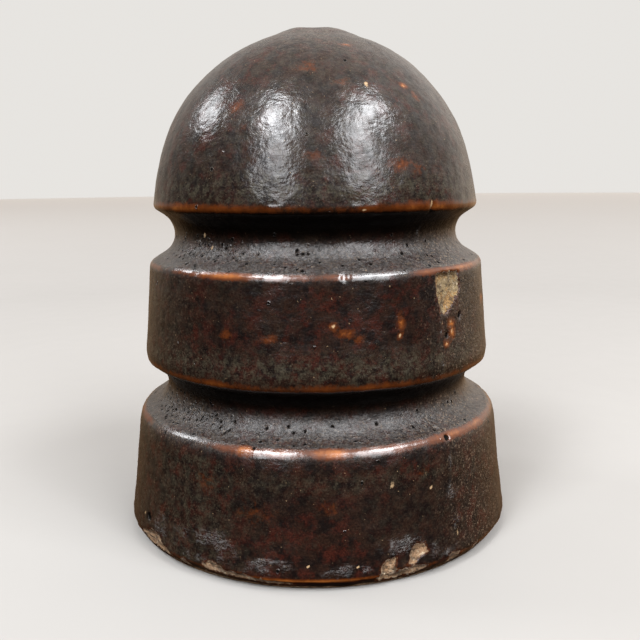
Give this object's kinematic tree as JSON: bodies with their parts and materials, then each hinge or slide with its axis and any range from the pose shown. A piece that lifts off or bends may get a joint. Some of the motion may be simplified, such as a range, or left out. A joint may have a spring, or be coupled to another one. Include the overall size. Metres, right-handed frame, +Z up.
{
  "type": "porcelain line insulator",
  "caption": "Dome-topped pin-type porcelain insulator with side wire grooves, a flared rain skirt and a threaded pinhole underneath.",
  "frame": {"origin": "centre of the dry foot ring, on the plane it stands on", "axes": "+Z up along the pinhole axis towards the dome; X and Y are equivalent"},
  "size_m": [0.07, 0.07, 0.087],
  "materials": {
    "clay_body": "dry fired stoneware, tan to olive, rough",
    "outer_glaze": "thick dark brown iron glaze, pebbled, glossy to satin, breaking orange-brown on edges",
    "inner_glaze": "thinner brown iron glaze, satin"
  },
  "bodies": {
    "root": {"porcelain_body": "clay_body", "outer_glaze": "outer_glaze", "inner_glaze": "inner_glaze"}
  },
  "joints": []
}
